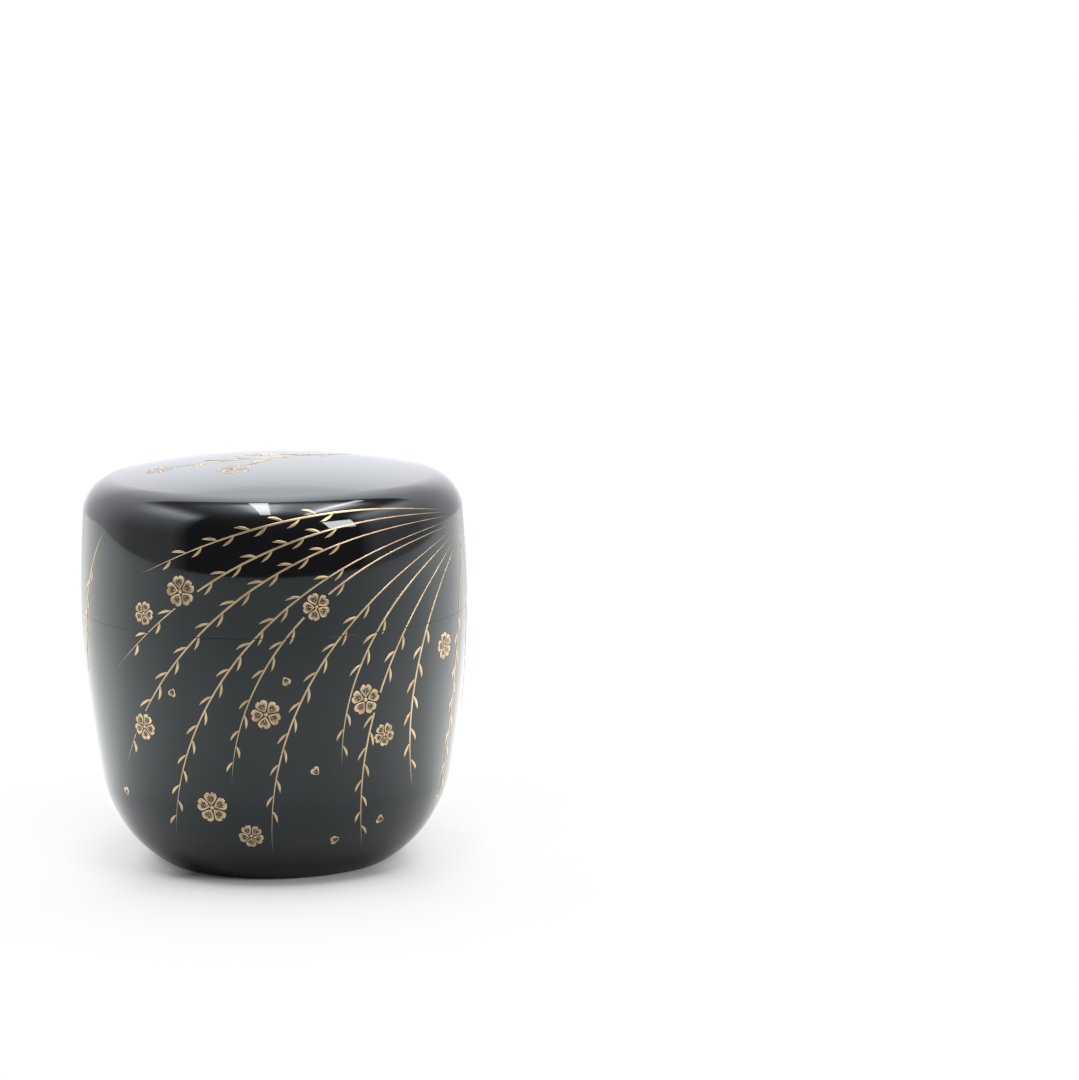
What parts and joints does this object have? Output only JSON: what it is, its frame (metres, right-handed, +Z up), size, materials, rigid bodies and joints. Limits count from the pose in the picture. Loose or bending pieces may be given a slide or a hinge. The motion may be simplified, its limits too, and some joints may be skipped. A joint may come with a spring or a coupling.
{
  "type": "lacquer tea caddy",
  "caption": "Rounded black lacquer tea caddy with a lift-off lid over a thin collar and a fine gold plant design on a turned wooden core.",
  "frame": {"origin": "middle of the plane that the base stands on", "axes": "+Z up along the turning axis, -Y towards the front with the gold design, +X to the right of someone facing the front"},
  "size_m": [0.0661, 0.0661, 0.0694],
  "materials": {
    "turned_wood": "bare fine-grained turned wood, wholly inside the lacquer",
    "black_lacquer": "black lacquer polished to a mirror",
    "inner_black_lacquer": "black lacquer, glossy, a little softer than outside",
    "gold": "fine gold powder set in lacquer and burnished, a little raised"
  },
  "bodies": {
    "caddy_body": {"body_wood_core": "turned_wood", "body_outer_lacquer": "black_lacquer", "body_inner_lacquer": "inner_black_lacquer", "body_gold_branches": "gold", "body_gold_blossoms": "gold"},
    "lid": {"lid_wood_core": "turned_wood", "lid_outer_lacquer": "black_lacquer", "lid_inner_lacquer": "inner_black_lacquer", "lid_gold_branches": "gold", "lid_gold_blossoms": "gold", "lid_top_gold_sprig": "gold"}
  },
  "joints": [
    {"name": "lid_lift", "type": "slide", "parent": "caddy_body", "child": "lid", "axis": [0, 0, 1], "range_m": [0, 0.045]}
  ]
}
